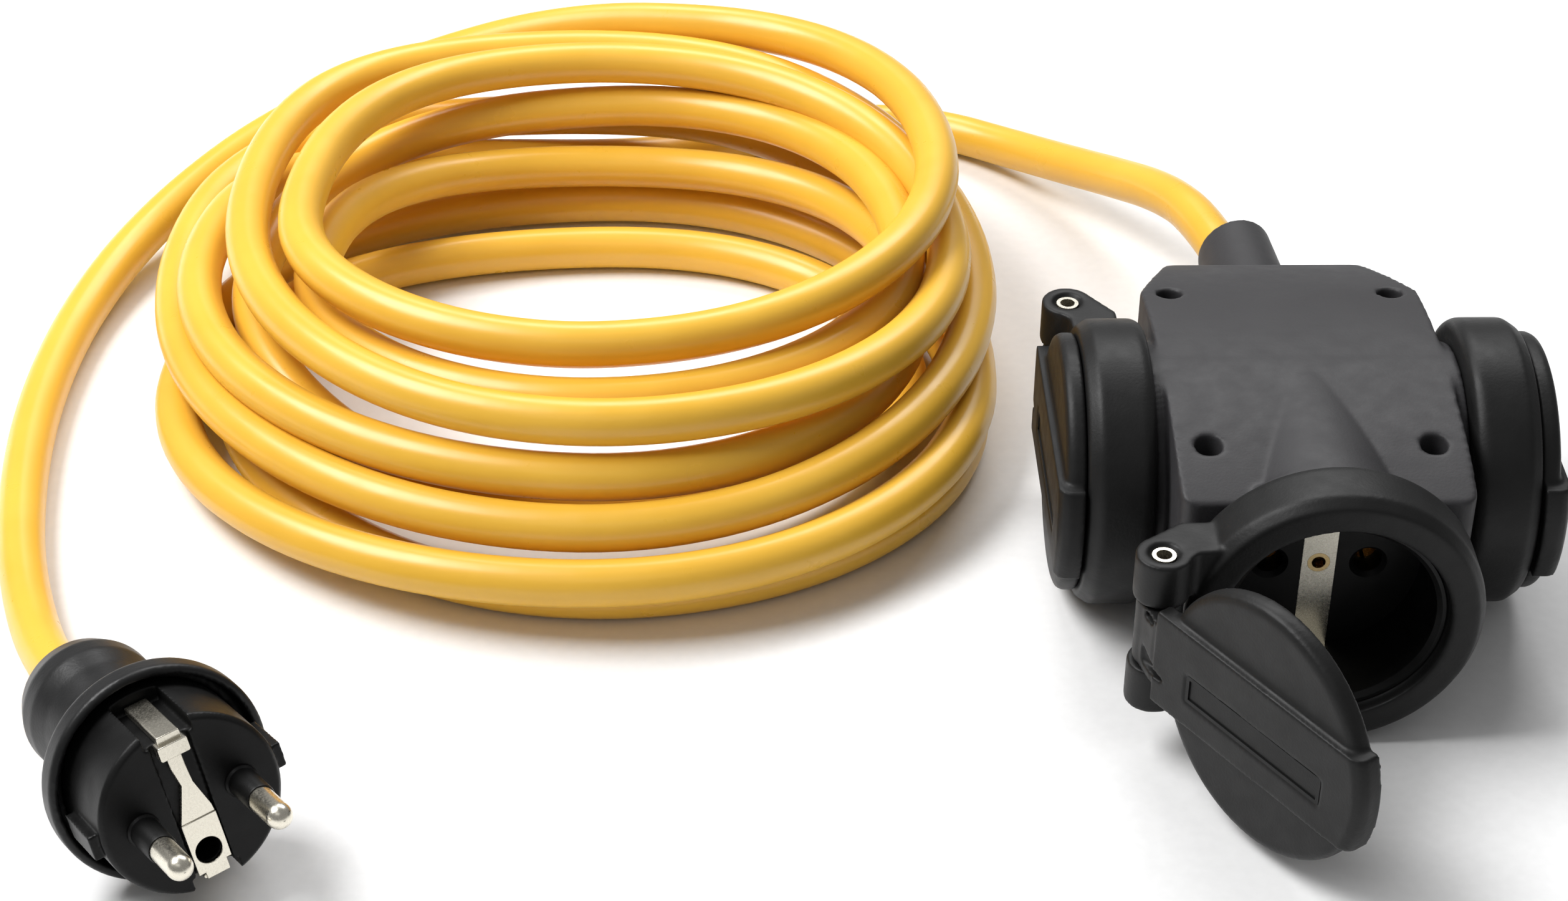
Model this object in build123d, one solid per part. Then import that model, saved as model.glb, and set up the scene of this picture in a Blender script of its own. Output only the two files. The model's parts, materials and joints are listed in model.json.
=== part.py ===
from build123d import *
import os
from math import cos, hypot, pi, radians, sin, tan

os.makedirs("parts", exist_ok=True)

# ---------------------------------------------------------------- driving dimensions, mm
AXIS_Z = 28.5              # height of the three socket axes over the floor
SIDE_FACE = 43.8           # mouth plane of the left and right sockets, |x|
FRONT_FACE = 54.4          # mouth plane of the front socket, -y
COLLAR_R = 28.5
COLLAR_LEN = 13.3
COLLAR_FLAT_R = 26.8       # outer edge of the flat ring round the mouth
LIP_R = 21.65
LIP_DEPTH = 2.7
CUP_R = 21.1
RECESS_R = 19.5            # standard round recess
RECESS_DEPTH = 17.5
CUP_FLOOR = 5.0
PIN_PITCH = 19.0           # standard pin spacing
PIN_R = 2.4
PIN_LEN = 19.0
HOLE_R = 2.75
EARTH_W = 6.5
EARTH_T = 0.9

HINGE_X = 33.2             # hinge axis, from the socket axis
HINGE_Z = -0.9             # and behind the mouth plane
HINGE_R = 2.0
EAR_R = 5.3
WIDE_HINGE = (7.1, 7.5, 17.0)      # half width of the knuckle, inner and outer face of the ears
SHORT_HINGE = (4.1, 4.5, 9.0)      # the right lid's shorter hinge
LID_R = 25.7
LID_T = 4.0
LID_GAP = 0.15
BAND_HALF = 10.3
BAND_T = 1.6
KNUCKLE_R = 4.4
LABEL = (-17.7, 17.7, -1.4, 4.6)   # the plate let into the band
LABEL_DEEP = 0.7
FRONT_LID_OPEN = 56.0      # the front lid is stored this far open

WALL = 3.2
ARCH_R = 135.0
ARCH_TOP = 52.0
ARCH_Y = 3.0
PLAN = [(-28, -38.5), (28, -38.5), (28.5, 31), (20.5, 51), (-20.5, 51), (-28.5, 31)]
SCREWS = [(-21.6, -24.2), (21.6, -24.2), (-22.6, 30.0), (22.6, 30.0)]
WELL_R = 2.65
HOOD_R = 17.5              # the ridge that runs from the dome on to the front socket

CORD_D = 9.7
PLUG_AT = (-215.0, -84.5, 20.85)    # centre of the plug's guard flange
PLUG_AZ = 31.5                      # its pins point this far from -y towards +x
PLUG_TILT = 13.5                    # and this far up
PLUG_ROLL = 7.0
PLUG_FLANGE_R = 20.6
PLUG_FACE_R = 17.0
PLUG_FACE = 16.0
PLUG_REAR = -44.0

# ---------------------------------------------------------------- helpers


def cyl(r, z0, z1, x=0.0, y=0.0):
    return Pos(x, y, (z0 + z1) / 2) * Cylinder(r, z1 - z0)


def cone(r0, r1, z0, z1, x=0.0, y=0.0):
    return Pos(x, y, (z0 + z1) / 2) * Cone(r0, r1, z1 - z0)


def ring(r_out, r_in, z0, z1):
    return cyl(r_out, z0, z1) - cyl(r_in, z0 - 1, z1 + 1)


def block(x0, x1, y0, y1, z0, z1):
    return Pos((x0 + x1) / 2, (y0 + y1) / 2, (z0 + z1) / 2) * Box(x1 - x0, y1 - y0, z1 - z0)


def bar_y(r, x, z, y0, y1):
    """Round bar along local y."""
    return Pos(x, (y0 + y1) / 2, z) * Rot(90, 0, 0) * Cylinder(r, y1 - y0)


def revolved(profile):
    """Solid of revolution about z of (radius, height) points."""
    wire = Polyline(*[(r, 0, z) for r, z in profile], close=True)
    return revolve(make_face(wire), Axis.Z)


def save(shape, node):
    export_step(shape, f"parts/{node}.step")
    print(f"{node:24s} {shape.volume:11.1f} mm3")


# ---------------------------------------------------------------- socket, mouth at z = 0, hinge at +x


def collar(hinge):
    _, ear_in, ear_out = hinge
    body = revolved([
        (LIP_R, 0.0), (COLLAR_FLAT_R, 0.0), (COLLAR_R, -2.5), (COLLAR_R, -COLLAR_LEN + 2.2),
        (COLLAR_R - 0.7, -COLLAR_LEN + 0.7), (COLLAR_R - 2.2, -COLLAR_LEN),
        (CUP_R + 0.05, -COLLAR_LEN), (CUP_R + 0.05, -LIP_DEPTH - 0.4), (LIP_R, -LIP_DEPTH),
    ])
    side = Polyline((21.8, 0, -10.5), (21.8, 0, -1.2), (26.9, 0, -0.6), (31.0, 0, 3.9),
                    (HINGE_X, 0, HINGE_Z), (36.9, 0, -4.7), (29.0, 0, -10.5), close=True)
    for s in (-1, 1):
        mid = s * (ear_in + ear_out) / 2
        thick = ear_out - ear_in
        ear = Pos(0, mid + thick / 2, 0) * extrude(make_face(side), thick, dir=(0, -1, 0))
        ear += bar_y(EAR_R, HINGE_X, HINGE_Z, mid - thick / 2, mid + thick / 2)
        ear -= cyl(CUP_R + 1.2, -20, 10)
        body += ear
        body -= bar_y(HINGE_R + 0.02, HINGE_X, HINGE_Z, mid - thick, mid + thick)
        tip = s * ear_out
        body -= bar_y(3.0, HINGE_X, HINGE_Z, tip - 1.0, tip + 1.0)
    return body


def cup():
    back = -LIP_DEPTH - RECESS_DEPTH
    body = cyl(CUP_R, back - CUP_FLOOR, -LIP_DEPTH)
    body -= cyl(RECESS_R, back, 0)
    body -= cone(RECESS_R, RECESS_R + 0.9, -LIP_DEPTH - 0.9, -LIP_DEPTH)
    for s in (-1, 1):
        body -= cyl(HOLE_R, back - CUP_FLOOR - 1, back + 1, s * PIN_PITCH / 2)
        body -= cone(HOLE_R, HOLE_R + 0.9, back - 0.9, back, s * PIN_PITCH / 2)
    slot = EARTH_W / 2 + 0.1
    body -= block(-slot, slot, -RECESS_R - 1.05, RECESS_R + 1.05, back - EARTH_T - 0.05, back + 12.0)
    body -= cyl(2.25, back - CUP_FLOOR - 1, back)
    return body


def earth_strap():
    back = -LIP_DEPTH - RECESS_DEPTH
    half = EARTH_W / 2
    far = RECESS_R + 0.1 + EARTH_T
    strap = block(-half, half, -far, far, back - EARTH_T, back)
    for s in (-1, 1):
        y0, y1 = sorted((s * (far - EARTH_T), s * far))
        strap += block(-half, half, y0, y1, back - EARTH_T, back + 11.0)
    return strap - cyl(2.2, back - 3, back + 3)


def earth_rivet():
    back = -LIP_DEPTH - RECESS_DEPTH
    return ring(2.15, 1.35, back - CUP_FLOOR, back)


def contact_sleeves():
    back = -LIP_DEPTH - RECESS_DEPTH - CUP_FLOOR
    sleeves = []
    for s in (-1, 1):
        x = s * PIN_PITCH / 2
        tube = cyl(3.5, back - 9.5, back, x) - cyl(2.45, back - 8.0, back + 1, x)
        sleeves.append(tube - block(x - 0.4, x + 0.4, -4, 4, back - 7.0, back + 1))
    return Compound(children=sleeves)


def lid(hinge):
    half, _, _ = hinge
    top = LID_GAP + LID_T
    disc = revolved([(0, LID_GAP), (LID_R - 0.4, LID_GAP), (LID_R, LID_GAP + 0.5), (LID_R, top - 1.6),
                     (LID_R - 0.5, top - 0.5), (LID_R - 1.7, top), (0, top)])
    disc -= cyl(19.0, LID_GAP - 1, LID_GAP + 1.6)
    disc -= ring(21.4, 19.7, LID_GAP - 1, LID_GAP + 1.0)
    high = top + BAND_T
    rim = LID_R + 2.0
    band = revolved([(0, top - 2.0), (25.0, top - 2.0), (25.0, LID_GAP + 0.4), (rim, LID_GAP + 0.4),
                     (rim, high - 2.0), (rim - 0.6, high - 0.8), (rim - 2.0, high), (0, high)])
    band &= block(-40, 22.0, -BAND_HALF, BAND_HALF, 0, 20)
    band += block(20.0, 26.8, -BAND_HALF, BAND_HALF, top - 2.0, high)
    arm = Polyline((24.0, 0, 0.4), (24.0, 0, high - 0.6), (28.0, 0, high - 0.6),
                   (HINGE_X + 2.6, 0, HINGE_Z + 3.5), (HINGE_X, 0, HINGE_Z), (29.3, 0, 0.4), close=True)
    arm = Pos(0, half, 0) * extrude(make_face(arm), 2 * half, dir=(0, -1, 0))
    body = disc + band + arm + bar_y(KNUCKLE_R, HINGE_X, HINGE_Z, -half, half)
    x0, x1, y0, y1 = LABEL
    body -= block(x0 - 0.1, x1 + 0.1, y0 - 0.1, y1 + 0.1, high - LABEL_DEEP, high + 1)
    return body - bar_y(HINGE_R + 0.06, HINGE_X, HINGE_Z, -20, 20)


def lid_plate():
    """Blank plate let into the lid's band, with a raised frame."""
    base = LID_GAP + LID_T + BAND_T - LABEL_DEEP
    x0, x1, y0, y1 = LABEL
    plate = block(x0, x1, y0, y1, base, base + 0.5)
    return plate - block(x0 + 0.8, x1 - 0.8, y0 + 0.8, y1 - 0.8, base + 0.2, base + 1)


def lid_seal():
    top = LID_GAP + 0.95
    return revolved([(19.8, top), (19.8, -1.8), (20.6, -1.8), (21.3, -0.9), (21.3, top)])


def hinge_pin(hinge):
    half = hinge[2] - 1.0
    pin = bar_y(HINGE_R, HINGE_X, HINGE_Z, -half, half)
    for s in (-1, 1):
        y0, y1 = sorted((s * half, s * (half + 0.45)))
        pin += bar_y(2.25, HINGE_X, HINGE_Z, y0, y1)
    return pin - bar_y(1.5, HINGE_X, HINGE_Z, -20, 20)


# ---------------------------------------------------------------- block housing


def plan_prism(inset, z0, z1, arch_r):
    face = make_face(Polyline(*PLAN, close=True))
    face = fillet(face.vertices(), 3.0)
    if inset:
        face = offset(face, -inset)
    prism = Pos(0, 0, z0) * extrude(face, z1 - z0)
    dome = Pos(0, ARCH_Y, ARCH_TOP - ARCH_R) * Rot(0, 90, 0) * Cylinder(arch_r, 120)
    return prism & dome


def side_boss(r, x0, x1):
    return Pos((x0 + x1) / 2, 0, AXIS_Z) * Rot(0, 90, 0) * Cylinder(r, x1 - x0)


def front_bar(r0, r1, y0, y1):
    """Cone or cylinder along y; r0 at y0."""
    solid = Cylinder(r0, y1 - y0) if r0 == r1 else Cone(r0, r1, y1 - y0)
    return Pos(0, (y0 + y1) / 2, AXIS_Z) * Rot(-90, 0, 0) * solid


def housing():
    shell = plan_prism(0, 0, 60, ARCH_R)
    low = shell.edges().filter_by_position(Axis.Z, -0.01, 0.01)
    shell = chamfer(low, 1.2)
    boss = SIDE_FACE - COLLAR_LEN
    neck = FRONT_FACE - COLLAR_LEN
    shell += side_boss(23.6, -boss, boss)
    shell += front_bar(23.2, 23.2, -neck, -35.0)
    shell += Pos(0, (-neck - 4.0) / 2, ARCH_TOP - HOOD_R) * Rot(90, 0, 0) * Cylinder(HOOD_R, neck - 4.0)
    shell += front_bar(13.0, 13.0, 41.0, 53.0)
    shell -= plan_prism(WALL, WALL, 60, ARCH_R - WALL)
    posts = [cyl(4.3, 1.0, 47.5, x, y) for x, y in SCREWS]
    shell += Compound(children=posts)
    shell -= side_boss(CUP_R + 0.1, -boss - 5, -18.2) + side_boss(CUP_R + 0.1, 18.2, boss + 5)
    shell -= front_bar(CUP_R + 0.1, CUP_R + 0.1, -neck - 5, -28.5)
    shell -= front_bar(9.1, 9.1, 38.0, 58.0)
    for x, y in SCREWS:
        shell -= cyl(WELL_R, 30.5, 60, x, y) + cyl(1.6, 27.5, 31, x, y) + cyl(1.52, 8.0, 28.5, x, y)
    return shell


def housing_screw(x, y):
    head = cyl(2.55, 30.5, 33.0, x, y)
    slot = block(x - 2.0, x + 2.0, y - 0.35, y + 0.35, 32.0, 34)
    slot += block(x - 0.35, x + 0.35, y - 2.0, y + 2.0, 32.0, 34)
    return head - slot + cyl(1.5, 8.5, 30.5, x, y)


def cord_boot():
    """Blunt tapered boot behind the block, that the cord leaves towards the coil."""
    root = front_bar(9.0, 9.0, 38.0, 53.0)
    base = Plane(origin=(0, 53.0, AXIS_Z), x_dir=(1, 0, 0), z_dir=(0, 1, 0))
    end = Plane(origin=BOOT_TIP, x_dir=(1, 0.2, 0), z_dir=BOOT_DIR)
    taper = loft([base * Circle(9.6), end * Pos(2.6, 0) * Circle(8.3)])
    collar_ring = front_bar(11.5, 11.0, 53.0, 55.0)
    return root + taper + collar_ring


# ---------------------------------------------------------------- inside the block


def live_bar(z0, sign):
    z1 = z0 + 1.2
    bar = block(-12.5, -6.5, -24, 26, z0, z1) + block(-12.5, 12.5, 6.5, 12.5, z0, z1)
    return bar if sign < 0 else mirror(bar, Plane.YZ)


def earth_bar():
    return block(-3, 3, -28, 26, 27.9, 29.1) + block(-17, 17, -3, 3, 27.9, 29.1)


def terminal_block():
    body = block(-14, 14, 26.2, 33.6, 22, 36)
    for x in (-9.5, 0, 9.5):
        body -= cyl(1.8, 30, 37, x, 30)
    return body


def clamp_saddle():
    bar = block(-13.5, 13.5, 34.2, 37.6, 30.2, 37)
    bar -= Pos(0, 36, AXIS_Z) * Rot(90, 0, 0) * Cylinder(CORD_D / 2, 20)
    for x in (-10.5, 10.5):
        bar -= cyl(1.3, 20, 40, x, 35.9)
    return bar


def clamp_screws():
    parts = []
    for x in (-10.5, 10.5):
        parts.append(cyl(1.2, 22, 37, x, 35.9) + cyl(1.7, 37, 38.5, x, 35.9))
    return Compound(children=parts)


# ---------------------------------------------------------------- plug, pins along +z, flange front at z = 0


def plug_body():
    body = revolved([
        (0, PLUG_REAR), (6.2, PLUG_REAR), (9.0, PLUG_REAR + 1.4), (11.8, PLUG_REAR + 4.8), (13.2, PLUG_REAR + 9.5),
        (13.1, PLUG_REAR + 13.5), (11.9, PLUG_REAR + 18.0), (11.0, -20.0), (11.1, -14.5), (12.8, -9.5),
        (16.8, -6.0), (19.8, -4.4), (PLUG_FLANGE_R, -3.3), (PLUG_FLANGE_R, 0.6), (20.0, 1.2), (18.9, 1.2),
        (18.6, -2.4), (PLUG_FACE_R + 0.05, -2.4), (PLUG_FACE_R + 0.05, -5.0), (0, -5.0),
    ])
    return body


def plug_insert():
    body = cyl(PLUG_FACE_R, -4.95, PLUG_FACE)
    edge = body.edges().filter_by(GeomType.CIRCLE).sort_by(Axis.Z)[-1]
    body = chamfer(edge, 0.8)
    for s in (-1, 1):
        x0, x1 = sorted((s * (PLUG_FACE_R - 1.0), s * (PLUG_FACE_R + 1.7)))
        body += block(x0, x1, -2.4, 2.4, 3.0, 14.2)
        y0, y1 = sorted((s * (PLUG_FACE_R - 3.4), s * (PLUG_FACE_R + 1)))
        body -= block(-4.6, 4.6, y0, y1, 0.5, PLUG_FACE + 1)
        body -= cyl(PIN_R, 4, PLUG_FACE + 1, s * PIN_PITCH / 2)
    body -= block(-3.7, 3.7, -PLUG_FACE_R - 1, PLUG_FACE_R + 1, PLUG_FACE - 1.3, PLUG_FACE + 1)
    return body - cyl(2.6, 0, PLUG_FACE + 1, 0, -9.6)


def plug_pins():
    pins = []
    for s in (-1, 1):
        x = s * PIN_PITCH / 2
        top = PLUG_FACE + PIN_LEN
        pins.append(cyl(PIN_R, 4, top - PIN_R, x) + Pos(x, 0, top - PIN_R) * Sphere(PIN_R))
    return Compound(children=pins)


def plug_earth_strap():
    z0 = PLUG_FACE - 1.25
    far = PLUG_FACE_R - 1.9
    strap = block(-2.3, 2.3, -far, far, z0, z0 + EARTH_T) + block(-3.5, 3.5, -far, -5.4, z0, z0 + EARTH_T)
    for s in (-1, 1):
        y0, y1 = sorted((s * (far - EARTH_T), s * far))
        strap += block(-3.5, 3.5, y0, y1, 1.0, z0 + EARTH_T)
    return strap - cyl(2.5, z0 - 1, z0 + 3, 0, -9.6)


# ---------------------------------------------------------------- cord

BOOT_TIP = (-3.4, 79.0, 29.0)
BOOT_DIR = (-3.3, 16.2, 0.0)

# from the plug, round the coil's left side and up on to its back
PLUG_TAIL = [
    (-237.36, -48.02, 10.58), (-244.21, -36.83, 7.43), (-251.5, -18.0, 5.0), (-257.0, 2.5, 4.9),
    (-260.5, 25.0, 4.9), (-262.3, 48.0, 4.9), (-261.8, 71.5, 4.9), (-258.8, 95.0, 5.2),
    (-252.0, 117.5, 7.3), (-241.0, 137.0, 11.0), (-227.0, 153.0, 15.5), (-210.0, 163.5, 20.7),
    (-191.0, 169.5, 27.0), (-167.0, 174.0, 33.0), (-149.0, 174.0, 36.5),
]
# from the block's boot down to the floor and in behind the coil
BLOCK_TAIL = [
    (-3.4, 79.0, 29.0), (-6.7, 95.2, 29.0), (-12.7, 113.0, 25.0), (-20.5, 131.0, 18.2), (-30.8, 149.5, 11.5),
    (-43.2, 166.5, 6.5), (-58.0, 178.5, 4.95), (-75.5, 182.5, 4.9), (-94.5, 179.0, 4.9), (-113.0, 171.5, 4.9),
]


def tube(points, name):
    """Straight runs joined by the largest tangent arcs that fit."""
    radii = []
    for a, b, c in zip(points, points[1:], points[2:]):
        u, v = Vector(*b) - Vector(*a), Vector(*c) - Vector(*b)
        half = radians(u.get_angle(v)) / 2
        radii.append(0.45 * min(u.length, v.length) / tan(half))
    path = FilletPolyline(*points, radius=radii)
    start = Plane(origin=path @ 0, z_dir=path % 0)
    solid = sweep(start * Circle(CORD_D / 2), path=path)
    ideal = pi * CORD_D ** 2 / 4 * path.length
    print(f"{name}: length {path.length:.1f}, radii {[round(r, 1) for r in radii]},"
          f" volume ratio {solid.volume / ideal:.4f}")
    return solid


def ellipse_at(cx, cy, rx, ry, z):
    return Plane.XY.offset(z) * Pos(cx, cy) * Ellipse(rx, ry)


def coil():
    outer = loft([
        ellipse_at(-145.0, 77.5, 96.0, 102.5, 0.1),
        ellipse_at(-144.5, 77.0, 94.5, 101.0, 30.0),
        ellipse_at(-136.5, 93.0, 77.5, 84.0, 52.0),
    ], ruled=True)
    inner = loft([
        ellipse_at(-144.0, 62.0, 57.0, 52.0, -2.0),
        ellipse_at(-138.0, 72.0, 60.0, 53.0, 30.0),
        ellipse_at(-136.0, 80.0, 60.5, 54.0, 56.0),
    ], ruled=True)
    return outer - inner


# ---------------------------------------------------------------- build everything

SOCKETS = {
    "front": Plane(origin=(0, -FRONT_FACE, AXIS_Z), x_dir=(-1, 0, 0), z_dir=(0, -1, 0)),
    "left": Plane(origin=(-SIDE_FACE, 0, AXIS_Z), x_dir=(0, 1, 0), z_dir=(-1, 0, 0)),
    "right": Plane(origin=(SIDE_FACE, 0, AXIS_Z), x_dir=(0, 1, 0), z_dir=(1, 0, 0)),
}
HINGES = {"front": WIDE_HINGE, "left": WIDE_HINGE, "right": SHORT_HINGE}

for where, plane in SOCKETS.items():
    hinge_size = HINGES[where]
    fixed = {
        "socket_collar": collar(hinge_size), "socket_cup": cup(), "earth_strap": earth_strap(),
        "earth_rivet": earth_rivet(), "contact_sleeves": contact_sleeves(), "hinge_pin": hinge_pin(hinge_size),
    }
    moving = {"lid": lid(hinge_size), "lid_plate": lid_plate(), "lid_seal": lid_seal()}
    for kind, shape in fixed.items():
        save(plane.location * shape, f"{kind}_{where}")
    turn = Location((0, 0, 0))
    if where == "front":
        hinge = Pos(HINGE_X, 0, HINGE_Z)
        turn = hinge * Rot(0, FRONT_LID_OPEN, 0) * hinge.inverse()
    for kind, shape in moving.items():
        save(plane.location * turn * shape, f"{kind}_{where}")

shell = housing()
save(shell & block(-60, 60, -60, 70, AXIS_Z, 70), "housing_top")
save(shell & block(-60, 60, -60, 70, -1, AXIS_Z), "housing_bottom")
save(Compound(children=[housing_screw(x, y) for x, y in SCREWS]), "housing_screws")
save(cord_boot(), "cord_boot")
save(live_bar(32.5, -1), "busbar_live")
save(live_bar(23.3, 1), "busbar_neutral")
save(earth_bar(), "busbar_earth")
save(terminal_block(), "terminal_block")
save(clamp_saddle(), "clamp_saddle")
save(clamp_screws(), "clamp_screws")

az, tilt = radians(PLUG_AZ), radians(PLUG_TILT)
axis = (cos(tilt) * sin(az), -cos(tilt) * cos(az), sin(tilt))
flat = (cos(az), sin(az), 0)
plug_at = Plane(origin=PLUG_AT, x_dir=flat, z_dir=axis).location * Rot(0, 0, PLUG_ROLL)
save(plug_at * plug_body(), "plug_body")
save(plug_at * plug_insert(), "plug_insert")
save(plug_at * plug_pins(), "plug_pins")
save(plug_at * plug_earth_strap(), "plug_earth_strap")

save(tube(PLUG_TAIL, "plug tail"), "cord_tail_plug")
save(tube(BLOCK_TAIL, "block tail"), "cord_tail_block")
save(coil(), "cord_coil")
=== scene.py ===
import json
from math import cos, pi, radians, sin

import bmesh
import bpy
from mathutils import Matrix, Vector


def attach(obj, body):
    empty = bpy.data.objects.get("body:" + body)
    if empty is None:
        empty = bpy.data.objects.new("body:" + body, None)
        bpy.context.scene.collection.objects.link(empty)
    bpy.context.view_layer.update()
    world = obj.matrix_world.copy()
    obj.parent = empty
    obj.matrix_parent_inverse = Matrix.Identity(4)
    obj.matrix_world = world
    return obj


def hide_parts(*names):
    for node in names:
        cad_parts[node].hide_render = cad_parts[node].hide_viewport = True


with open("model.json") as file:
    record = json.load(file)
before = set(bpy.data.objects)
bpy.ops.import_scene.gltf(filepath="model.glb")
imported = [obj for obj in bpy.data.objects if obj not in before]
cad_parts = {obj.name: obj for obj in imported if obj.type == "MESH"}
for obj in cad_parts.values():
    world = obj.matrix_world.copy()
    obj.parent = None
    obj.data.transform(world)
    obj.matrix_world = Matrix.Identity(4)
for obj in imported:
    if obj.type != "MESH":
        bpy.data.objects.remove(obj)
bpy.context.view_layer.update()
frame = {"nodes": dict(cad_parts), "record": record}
nodes = frame["nodes"]

# ---------------------------------------------------------------- sizes, metres and degrees
MM = 0.001
AXIS_Z = 28.5 * MM          # height of the socket axes
SIDE_FACE = 43.8 * MM       # mouth planes of the sockets
FRONT_FACE = 54.4 * MM
HINGE_X = 33.2 * MM         # hinge axis in a socket's own frame
HINGE_Z = -0.9 * MM
FRONT_LID_OPEN = 56.0
LID_BORE_R = 2.45           # mm; the hinge pin is 2.0

# voxel size and smoothing passes of each softened moulding
SOFT_HOUSING = (0.55 * MM, 4)
SOFT_BOOT = (0.35 * MM, 9)
SOFT_COLLAR = (0.42 * MM, 12)
SOFT_LID = (0.38 * MM, 3)
SOFT_PLUG = (0.38 * MM, 8)
SOFT_INSERT = (0.3 * MM, 2)

PLUG_AT = Vector((-215.0, -84.5, 20.85)) * MM
PLUG_AZ = 31.5
PLUG_TILT = 13.5
PLUG_ROLL = 7.0
PLUG_FACE = 16.0
PIN_PITCH = 19.0

CORD_D = 9.7 * MM
CAMERA_AT = Vector((-115.4, -519.7, 392.7)) * MM
CAMERA_YAW = 1.5
CAMERA_PITCH = 34.8
CAMERA_ROLL = -0.6
CAMERA_LENS = 72.97

# the same route as the part's two cord tails, mm
PLUG_TAIL = [
    (-237.36, -48.02, 10.58), (-244.21, -36.83, 7.43), (-251.5, -18.0, 5.0), (-257.0, 2.5, 4.9),
    (-260.5, 25.0, 4.9), (-262.3, 48.0, 4.9), (-261.8, 71.5, 4.9), (-258.8, 95.0, 5.2),
    (-252.0, 117.5, 7.3), (-241.0, 137.0, 11.0), (-227.0, 153.0, 15.5), (-210.0, 163.5, 20.7),
    (-191.0, 169.5, 27.0), (-167.0, 174.0, 33.0), (-149.0, 174.0, 36.5),
]
BLOCK_TAIL = [
    (-3.4, 79.0, 29.0), (-6.7, 95.2, 29.0), (-12.7, 113.0, 25.0), (-20.5, 131.0, 18.2), (-30.8, 149.5, 11.5),
    (-43.2, 166.5, 6.5), (-58.0, 178.5, 4.95), (-75.5, 182.5, 4.9), (-94.5, 179.0, 4.9), (-113.0, 171.5, 4.9),
]
# Where each turn crosses the back, the right, the front and the left, mm: rounded from a fit.
TURNS = [
    ((-131, 172, 38.5), (-65, 92, 45), (-140, 22, 41.5), (-206, 75, 42)),
    ((-137, 153, 38), (-63, 73, 34), (-140, 2, 36), (-219, 86, 36)),
    ((-137, 164, 35.5), (-57, 74, 25), (-140, -11, 19), (-236.5, 87, 18)),
    ((-137, 165, 17.5), (-58, 52.5, 15), (-140, -20, 12.5), (-234, 60, 7)),
    ((-137, 144, 5.5), (-59, 55, 5), (-140, -14, 5), (-222, 68, 6.5)),
    ((-137, 123, 5), (-72, 64, 5), (-140, 6, 11), (-218, 78, 23)),
    ((-137, 151, 27.5), (-73, 76, 32.5), (-140, 14.5, 33), (-203.5, 75, 28.5)),
    ((-137, 141.5, 16), (-71, 74, 21.5), (-140, -2, 25.5), (-230, 79, 26)),
]
COIL_END = (-132.5, 163.5, 5.0)
# How far each quarter of a turn bulges, mostly from the same fit:
# back to right, right to front, front to left, left to back.
BULGE = (0.58, 0.56, 0.53, 0.62)
LEFT_BACK_BULGE = {0: 0.68, 1: 0.79, 2: 0.81, 7: 0.71}
QUARTER_POINTS = 4


# ---------------------------------------------------------------- materials


def new_material(name, base, roughness, metallic=0.0, gloss=0.5):
    mat = bpy.data.materials.new(name)
    mat.use_nodes = True
    bsdf = mat.node_tree.nodes["Principled BSDF"]
    bsdf.inputs["Base Color"].default_value = (*base, 1.0)
    bsdf.inputs["Roughness"].default_value = roughness
    bsdf.inputs["Metallic"].default_value = metallic
    bsdf.inputs["Specular IOR Level"].default_value = gloss
    return mat, bsdf


def noise(mat, scale, detail=3.0, stretch=(1.0, 1.0, 1.0)):
    """Noise in object space; scale is in cells per metre."""
    tree = mat.node_tree
    coords = tree.nodes.new("ShaderNodeTexCoord")
    mapping = tree.nodes.new("ShaderNodeMapping")
    mapping.inputs["Scale"].default_value = stretch
    node = tree.nodes.new("ShaderNodeTexNoise")
    node.inputs["Scale"].default_value = scale
    node.inputs["Detail"].default_value = detail
    tree.links.new(coords.outputs["Object"], mapping.inputs["Vector"])
    tree.links.new(mapping.outputs["Vector"], node.inputs["Vector"])
    return node.outputs["Fac"]


def ranged(mat, value, low, high):
    node = mat.node_tree.nodes.new("ShaderNodeMapRange")
    node.inputs["From Min"].default_value = 0.3
    node.inputs["From Max"].default_value = 0.7
    node.inputs["To Min"].default_value = low
    node.inputs["To Max"].default_value = high
    mat.node_tree.links.new(value, node.inputs["Value"])
    return node.outputs["Result"]


def mixed(mat, value, first, second):
    node = mat.node_tree.nodes.new("ShaderNodeMix")
    node.data_type = "RGBA"
    node.inputs["A"].default_value = (*first, 1.0)
    node.inputs["B"].default_value = (*second, 1.0)
    mat.node_tree.links.new(value, node.inputs["Factor"])
    return node.outputs["Result"]


def bump(mat, bsdf, value, strength, distance):
    node = mat.node_tree.nodes.new("ShaderNodeBump")
    node.inputs["Strength"].default_value = strength
    node.inputs["Distance"].default_value = distance
    mat.node_tree.links.new(value, node.inputs["Height"])
    mat.node_tree.links.new(node.outputs["Normal"], bsdf.inputs["Normal"])


def moulded(name, dark, light, roughness, gloss=0.3, grain=1800.0, strength=0.25):
    """Moulded rubber or plastic: fine grain, slight cloudiness and small changes of sheen."""
    mat, bsdf = new_material(name, dark, roughness, 0.0, gloss)
    cloud = noise(mat, 60.0, 4.0)
    mat.node_tree.links.new(mixed(mat, ranged(mat, cloud, 0.0, 1.0), dark, light), bsdf.inputs["Base Color"])
    sheen = noise(mat, 240.0, 5.0)
    mat.node_tree.links.new(ranged(mat, sheen, roughness - 0.05, roughness + 0.05), bsdf.inputs["Roughness"])
    bump(mat, bsdf, noise(mat, grain, 3.0), strength, 0.00012)
    return mat


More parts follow.
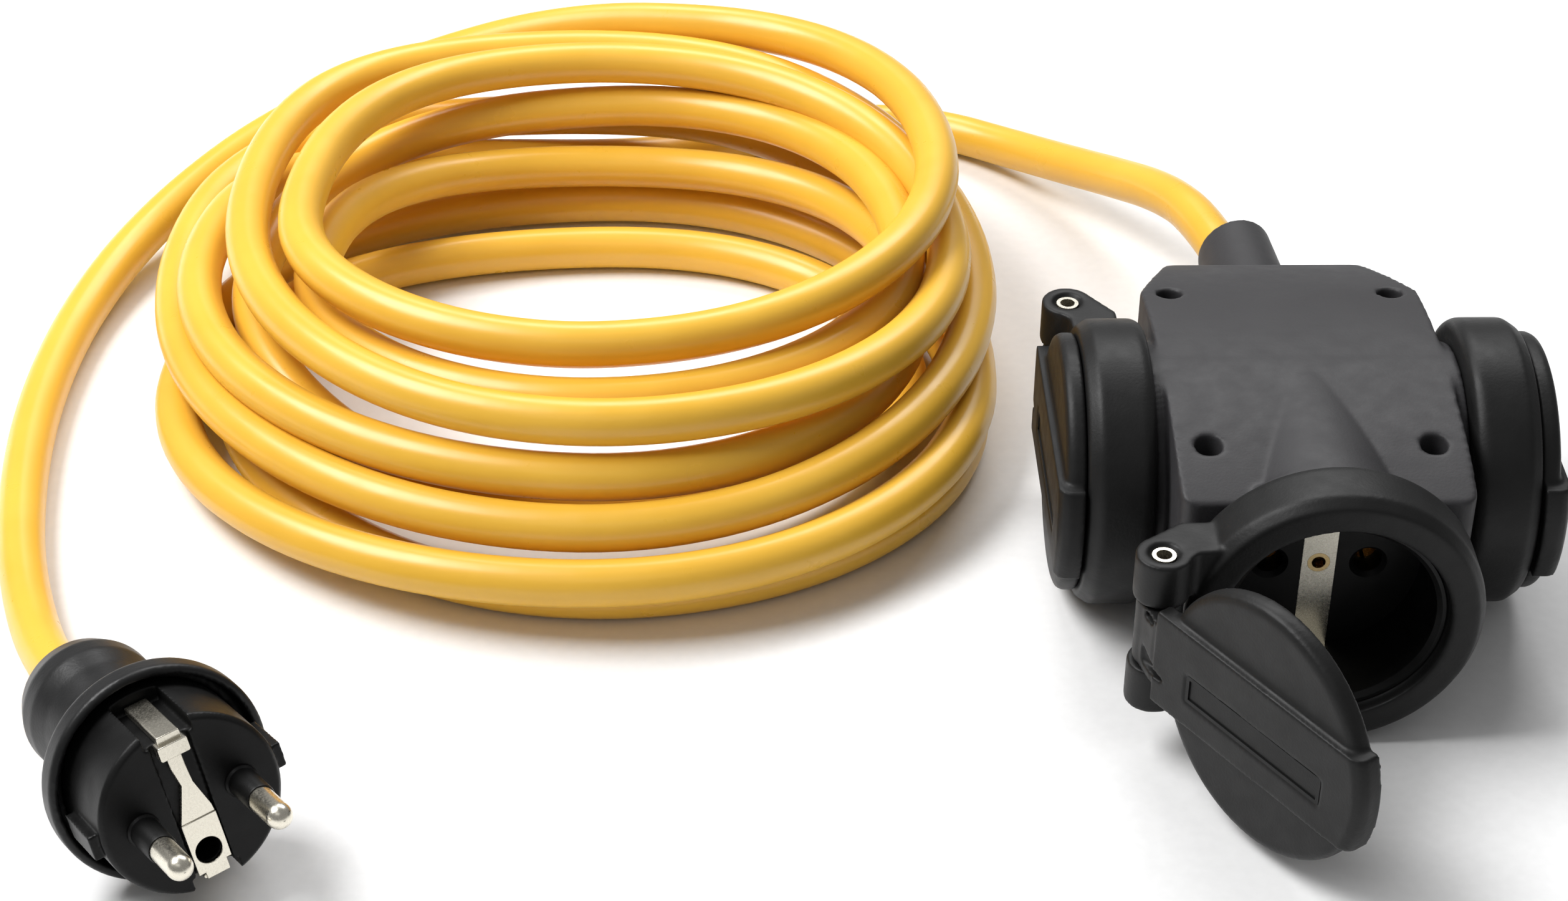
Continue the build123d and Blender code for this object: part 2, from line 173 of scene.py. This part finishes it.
def plated(name, base, roughness, stretch=(1.0, 1.0, 1.0)):
    """Plated metal with fine scratches."""
    mat, bsdf = new_material(name, base, roughness, 1.0)
    marks = noise(mat, 2600.0, 3.0, stretch)
    mat.node_tree.links.new(ranged(mat, marks, roughness * 0.85, roughness * 1.2), bsdf.inputs["Roughness"])
    bump(mat, bsdf, marks, 0.06, 0.00002)
    return mat


def sheath():
    """Smooth glossy cord sheath with a faint waviness and a few dull patches."""
    mat, bsdf = new_material("yellow_sheath", (0.80, 0.45, 0.045), 0.33)
    cloud = ranged(mat, noise(mat, 45.0, 4.0), 0.0, 1.0)
    colour = mixed(mat, cloud, (0.81, 0.465, 0.05), (0.76, 0.425, 0.04))
    mat.node_tree.links.new(colour, bsdf.inputs["Base Color"])
    sheen = ranged(mat, noise(mat, 130.0, 4.0), 0.27, 0.36)
    mat.node_tree.links.new(sheen, bsdf.inputs["Roughness"])
    bump(mat, bsdf, noise(mat, 320.0, 4.0), 0.10, 0.0002)
    return mat


GREY = moulded("block_rubber", (0.026, 0.025, 0.027), (0.032, 0.031, 0.033), 0.55, 0.35)
BLACK = moulded("lid_rubber", (0.006, 0.006, 0.006), (0.009, 0.009, 0.009), 0.48, 0.25)
PLUG_GREY = moulded("plug_rubber", (0.008, 0.008, 0.0082), (0.012, 0.012, 0.0122), 0.40, 0.28)
PLASTIC = moulded("insert_plastic", (0.003, 0.003, 0.003), (0.005, 0.005, 0.005), 0.42, 0.2, 2600.0, 0.18)
SEAL = moulded("seal_rubber", (0.004, 0.004, 0.004), (0.006, 0.006, 0.006), 0.6, 0.2, 2200.0, 0.2)
WHITE = moulded("white_plastic", (0.66, 0.65, 0.61), (0.72, 0.71, 0.67), 0.45, 0.4, 1500.0, 0.1)
NICKEL = plated("nickel", (0.74, 0.70, 0.60), 0.26)
BRASS = plated("brass", (0.70, 0.52, 0.26), 0.24)
STEEL = plated("zinc_steel", (0.55, 0.55, 0.55), 0.32)
YELLOW = sheath()

BY_SLOT = {
    "black_rubber": BLACK, "grey_rubber": GREY, "black_plastic": PLASTIC, "white_plastic": WHITE,
    "seal_rubber": SEAL, "nickel": NICKEL, "brass": BRASS, "steel": STEEL, "yellow_sheath": YELLOW,
}


# ---------------------------------------------------------------- helpers


def set_material(obj, mat):
    obj.data.materials.clear()
    obj.data.materials.append(mat)


def add_object(name, data):
    obj = bpy.data.objects.new(name, data)
    bpy.context.scene.collection.objects.link(obj)
    return obj


def smooth(mesh, angle=35.0):
    mesh.shade_smooth()
    mesh.set_sharp_from_angle(angle=radians(angle))


def local(origin, x_dir, z_dir):
    """Matrix of a frame with that origin, x and z directions."""
    x = Vector(x_dir).normalized()
    z = Vector(z_dir).normalized()
    y = z.cross(x)
    matrix = Matrix((x, y, z)).transposed().to_4x4()
    matrix.translation = origin
    return matrix


def cast(bm, faces_matrix=None):
    mesh = bpy.data.meshes.new("cast")
    if faces_matrix is not None:
        bm.transform(faces_matrix)
    bmesh.ops.recalc_face_normals(bm, faces=bm.faces)
    bm.to_mesh(mesh)
    bm.free()
    return mesh


def lathe(profile, steps=96):
    """Closed or open solid of revolution about z of (radius, height) points in mm."""
    bm = bmesh.new()
    rings = []
    for r, z in profile:
        if r < 1e-6:
            rings.append([bm.verts.new((0, 0, z * MM))])
        else:
            turn = [2 * pi * i / steps for i in range(steps)]
            rings.append([bm.verts.new((r * MM * cos(a), r * MM * sin(a), z * MM)) for a in turn])
    for low, high in zip(rings, rings[1:]):
        for i in range(steps):
            j = (i + 1) % steps
            corners = [low[i % len(low)], low[j % len(low)], high[j % len(high)], high[i % len(high)]]
            unique = list(dict.fromkeys(corners))
            if len(unique) > 2:
                bm.faces.new(unique)
    return bm


def prism(outline, z0, z1):
    """Straight prism along z of (x, y) points in mm."""
    bm = bmesh.new()
    low = [bm.verts.new((x * MM, y * MM, z0 * MM)) for x, y in outline]
    high = [bm.verts.new((x * MM, y * MM, z1 * MM)) for x, y in outline]
    bm.faces.new(low[::-1])
    bm.faces.new(high)
    for i in range(len(outline)):
        j = (i + 1) % len(outline)
        bm.faces.new((low[i], low[j], high[j], high[i]))
    return bm


def rounded(x0, x1, y0, y1, r, steps=6):
    """Rectangle with round corners, as a list of (x, y)."""
    points = []
    corners = ((x1 - r, y1 - r, 0), (x0 + r, y1 - r, 90), (x0 + r, y0 + r, 180), (x1 - r, y0 + r, 270))
    for cx, cy, start in corners:
        for i in range(steps + 1):
            a = radians(start + 90 * i / steps)
            points.append((cx + r * cos(a), cy + r * sin(a)))
    return points


def placed(bm, matrix):
    """A helper object, already in the row frame."""
    return add_object("helper", cast(bm, matrix))


def modify(obj, kind, **values):
    mod = obj.modifiers.new(kind, kind)
    for key, value in values.items():
        setattr(mod, key, value)
    return mod


def baked(obj):
    """Applies the object's modifiers to its mesh."""
    bpy.context.view_layer.update()
    depsgraph = bpy.context.evaluated_depsgraph_get()
    mesh = bpy.data.meshes.new_from_object(obj.evaluated_get(depsgraph))
    obj.modifiers.clear()
    obj.data = mesh
    return obj


def moulding(name, sources, cuts, voxel, passes, body, mat, slot_name):
    """Copies of CAD nodes, with cut details, made one softly rounded moulding."""
    bm = bmesh.new()
    for node in sources:
        bm.from_mesh(nodes[node].data)
    bmesh.ops.remove_doubles(bm, verts=bm.verts, dist=1e-6)
    mesh = bpy.data.meshes.new(name)
    bm.to_mesh(mesh)
    bm.free()
    obj = add_object(name, mesh)
    modify(obj, "REMESH", mode="VOXEL", voxel_size=voxel)
    for helper in cuts:
        modify(obj, "BOOLEAN", operation="DIFFERENCE", object=helper, solver="EXACT")
    if cuts:
        modify(obj, "REMESH", mode="VOXEL", voxel_size=voxel)
    modify(obj, "SMOOTH", factor=0.5, iterations=passes)
    baked(obj)
    for helper in cuts:
        bpy.data.objects.remove(helper)
    obj.data.shade_smooth()
    set_material(obj, mat)
    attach(obj, body)
    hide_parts(*sources)
    return obj


def piece(name, bm, matrix, body, mat, angle=35.0):
    """A new piece from bmesh, in the row frame."""
    obj = add_object(name, cast(bm, matrix))
    smooth(obj.data, angle)
    set_material(obj, mat)
    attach(obj, body)
    return obj


# ---------------------------------------------------------------- camera


def make_camera():
    yaw, pitch, roll = (radians(a) for a in (CAMERA_YAW, CAMERA_PITCH, CAMERA_ROLL))
    look = Vector((sin(yaw) * cos(pitch), cos(yaw) * cos(pitch), -sin(pitch)))
    level = Vector((cos(yaw), -sin(yaw), 0.0))
    down = look.cross(level)
    right = cos(roll) * level + sin(roll) * down
    under = -sin(roll) * level + cos(roll) * down
    data = bpy.data.cameras.new("camera")
    data.lens = CAMERA_LENS
    data.sensor_width = 36.0
    data.clip_start = 0.02
    camera = add_object("camera", data)
    matrix = Matrix((right, -under, -look)).transposed().to_4x4()
    matrix.translation = CAMERA_AT
    camera.matrix_world = matrix
    bpy.context.scene.camera = camera


# ---------------------------------------------------------------- cord


def quarter(a, b, along, bulge):
    """Points from a up to b; the path runs along x at one end and along y at the other."""
    a, b = Vector(a), Vector(b)
    first, second = a.copy(), b.copy()
    first[along] += bulge * (b[along] - a[along])
    other = 1 - along
    second[other] += bulge * (a[other] - b[other])
    points = []
    for i in range(QUARTER_POINTS):
        t = i / QUARTER_POINTS
        u = 1 - t
        points.append(u ** 3 * a + 3 * u * u * t * first + 3 * u * t * t * second + t ** 3 * b)
    return points


def coil_points():
    points = []
    backs = [turn[0] for turn in TURNS[1:]] + [COIL_END]
    for k, (turn, next_back) in enumerate(zip(TURNS, backs)):
        corners = [*turn, next_back]
        for j in range(4):
            bulge = LEFT_BACK_BULGE.get(k, BULGE[j]) if j == 3 else BULGE[j]
            points += quarter(corners[j], corners[j + 1], j % 2, bulge)
    return points + [Vector(COIL_END)]


def make_cord():
    route = [Vector(p) for p in PLUG_TAIL] + coil_points() + [Vector(p) for p in reversed(BLOCK_TAIL)]
    route = [p * MM for p in reversed(route)]
    curve = bpy.data.curves.new("cord", "CURVE")
    curve.dimensions = "3D"
    curve.resolution_u = 8
    curve.bevel_depth = CORD_D / 2
    curve.bevel_resolution = 7
    spline = curve.splines.new("NURBS")
    spline.points.add(len(route) - 1)
    for point, place in zip(spline.points, route):
        point.co = (*place, 1.0)
    spline.order_u = 3
    spline.use_endpoint_u = True
    cord = add_object("cord", curve)
    curve.materials.append(YELLOW)
    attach(cord, "housing")
    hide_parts("cord_tail_plug", "cord_tail_block", "cord_coil")
    return cord


# ---------------------------------------------------------------- sockets and lids

SOCKETS = {
    "front": local((0, -FRONT_FACE, AXIS_Z), (-1, 0, 0), (0, -1, 0)),
    "left": local((-SIDE_FACE, 0, AXIS_Z), (0, 1, 0), (-1, 0, 0)),
    "right": local((SIDE_FACE, 0, AXIS_Z), (0, 1, 0), (1, 0, 0)),
}


def lid_matrix(where):
    """The frame of a lid at rest: the socket's own, turned about the hinge for the open front lid."""
    matrix = SOCKETS[where].copy()
    if where == "front":
        hinge = Matrix.Translation((HINGE_X, 0, HINGE_Z))
        matrix = matrix @ hinge @ Matrix.Rotation(radians(FRONT_LID_OPEN), 4, "Y") @ hinge.inverted()
    return matrix


def make_collar(where):
    source = f"socket_collar_{where}"
    moulding(f"collar_{where}", [source], [], *SOFT_COLLAR, "housing", BLACK, "black_rubber")


def make_lid(where):
    """A lid with the slot and pocket in its hinge arm, and a bore that clears the pin once softened."""
    at = lid_matrix(where)
    reach = HINGE_X / MM - 1.4
    slot = [(reach, -6.7), (reach - 3.6, -6.7), (reach - 3.6, -5.6), (reach, -5.2)]
    pocket = [(reach, 1.2), (reach, 5.2), (reach - 9.5, 4.6)]
    shapes = [prism(slot, 2.4, 9.0), prism(pocket, 3.3, 9.0)] if where != "right" else []
    cuts = [placed(shape, at) for shape in shapes]
    bore = lathe([(0, -20), (LID_BORE_R, -20), (LID_BORE_R, 20), (0, 20)])
    along = Matrix.Translation((HINGE_X, 0, HINGE_Z)) @ Matrix.Rotation(pi / 2, 4, "X")
    cuts.append(placed(bore, at @ along))
    body = f"{where}_lid"
    moulding(f"lid_shell_{where}", [f"lid_{where}"], cuts, *SOFT_LID, body, BLACK, "black_rubber")


def make_housing():
    halves = ["housing_top", "housing_bottom"]
    moulding("housing_shell", halves, [], *SOFT_HOUSING, "housing", GREY, "grey_rubber")
    moulding("boot_shell", ["cord_boot"], [], *SOFT_BOOT, "housing", GREY, "grey_rubber")


# ---------------------------------------------------------------- plug


def plug_matrix():
    az, tilt = radians(PLUG_AZ), radians(PLUG_TILT)
    axis = (cos(tilt) * sin(az), -cos(tilt) * cos(az), sin(tilt))
    flat = (cos(az), sin(az), 0.0)
    return local(PLUG_AT, flat, axis) @ Matrix.Rotation(radians(PLUG_ROLL), 4, "Z")


def make_plug():
    """Smooth bell-shaped grip with its guard flange, and the insert, on the part's own plug."""
    moulding("plug_shell", ["plug_body"], [], *SOFT_PLUG, "housing", PLUG_GREY, "black_rubber")
    moulding("insert_shell", ["plug_insert"], [], *SOFT_INSERT, "housing", PLASTIC, "black_plastic")
    at = plug_matrix()
    pieces = []
    for side, x in (("a", -PIN_PITCH / 2), ("b", PIN_PITCH / 2)):
        # Dark plastic band round the rear of each pin: a painted reflection of the black plug, not an
        # insulating sleeve.
        painted_reflection_band = lathe([(2.45, PLUG_FACE - 1.0), (3.1, PLUG_FACE - 1.0), (3.1, PLUG_FACE + 0.5),
                        (2.75, PLUG_FACE + 0.9), (2.72, PLUG_FACE + 8.6),
                        (2.6, PLUG_FACE + 9.0), (2.45, PLUG_FACE + 9.0),
                        (2.45, PLUG_FACE - 1.0)], 48)
        shift = at @ Matrix.Translation((x * MM, 0, 0))
        pieces.append(piece(f"pin_painted_reflection_{side}", painted_reflection_band, shift, "housing", PLASTIC))
    return pieces + make_earth_strap(at)


def make_earth_strap(at):
    """The plug's folded earth strap: tongues in the side notches, bridge bar, neck and plate with its hole."""
    face = PLUG_FACE - 1.2
    neck = [(-1.4, 11.5), (-1.4, 8.0), (-0.7, 4.2), (-2.6, -1.6), (-3.2, -3.4), (3.5, -3.4), (3.3, -1.6),
            (1.6, 4.2), (1.3, 8.0), (1.3, 11.5)]
    plate = [(-3.2, -3.0), (3.5, -3.0), (3.5, -12.6), (2.5, -12.6), (2.5, -14.9), (-1.9, -14.9), (-1.9, -13.6),
             (-3.2, -13.6)]
    bar = rounded(-2.8, 2.8, 10.9, 13.7, 0.3, 3)
    shapes = {
        "earth_neck": [prism(neck, face, face + 0.9)],
        "earth_plate": [prism(plate, face + 0.15, face + 1.15)],
        "earth_bridge": [prism(bar, face, face + 2.6)],
        "earth_tongue_top": [prism(rounded(-2.2, 2.2, 13.6, 15.2, 0.3, 3), 1.0, face + 1.6)],
        "earth_tongue_low": [prism(rounded(-2.2, 2.2, -15.2, -14.3, 0.3, 3), 1.0, face + 0.2)],
    }
    pieces = []
    for name, parts in shapes.items():
        for bm in parts:
            pieces.append(piece(name, bm, at, "housing", NICKEL))
    hole_profile = [(0, PLUG_FACE - 6), (2.5, PLUG_FACE - 6), (2.5, PLUG_FACE + 6), (0, PLUG_FACE + 6)]
    hole = placed(lathe(hole_profile, 40),
                  at @ Matrix.Translation((0.0, -9.6 * MM, 0.0)))
    modify(pieces[1], "BOOLEAN", operation="DIFFERENCE", object=hole, solver="EXACT")
    baked(pieces[1])
    smooth(pieces[1].data)
    bpy.data.objects.remove(hole)
    for part in pieces:
        modify(part, "BEVEL", width=0.12 * MM, segments=2, limit_method="ANGLE")
    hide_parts("plug_earth_strap")
    return pieces


# ---------------------------------------------------------------- surroundings


def make_stage():
    mat, bsdf = new_material("pale_floor", (0.86, 0.86, 0.86), 0.6)
    grain = noise(mat, 400.0, 3.0)
    colour = mixed(mat, ranged(mat, grain, 0.0, 1.0), (0.85, 0.85, 0.85), (0.88, 0.88, 0.88))
    mat.node_tree.links.new(colour, bsdf.inputs["Base Color"])
    bump(mat, bsdf, grain, 0.05, 0.0001)
    bm = bmesh.new()
    bmesh.ops.create_grid(bm, x_segments=8, y_segments=8, size=3.0)
    floor = add_object("floor", cast(bm))
    set_material(floor, mat)

    world = bpy.data.worlds.new("studio")
    bpy.context.scene.world = world
    world.use_nodes = True
    world.node_tree.nodes["Background"].inputs["Color"].default_value = (1.0, 1.0, 1.0, 1.0)
    world.node_tree.nodes["Background"].inputs["Strength"].default_value = 0.27
    for name, place, size, energy in (
        ("key", (-0.70, 0.10, 0.9), (0.7, 0.5), 14.0),
        ("back", (0.05, 0.75, 0.9), (0.9, 0.4), 8.0),
        ("front", (-0.3, -0.9, 1.2), (0.8, 0.5), 0.7),
    ):
        data = bpy.data.lights.new(name, "AREA")
        data.shape = "RECTANGLE"
        data.size, data.size_y = size
        data.energy = energy
        lamp = add_object(name, data)
        lamp.location = place
        aim = Vector((-0.08, 0.03, 0.02)) - Vector(place)
        lamp.rotation_euler = aim.to_track_quat("-Z", "Y").to_euler()


# ---------------------------------------------------------------- build everything

bpy.context.scene.view_settings.view_transform = "Standard"
for row in frame["record"]["subparts"]:
    node = nodes[row["node"]]
    set_material(node, BY_SLOT[row["material_slot"]])
    smooth(node.data)

make_camera()
make_stage()
plug_pieces = make_plug()
make_cord()
make_housing()
for where in SOCKETS:
    make_collar(where)
    make_lid(where)
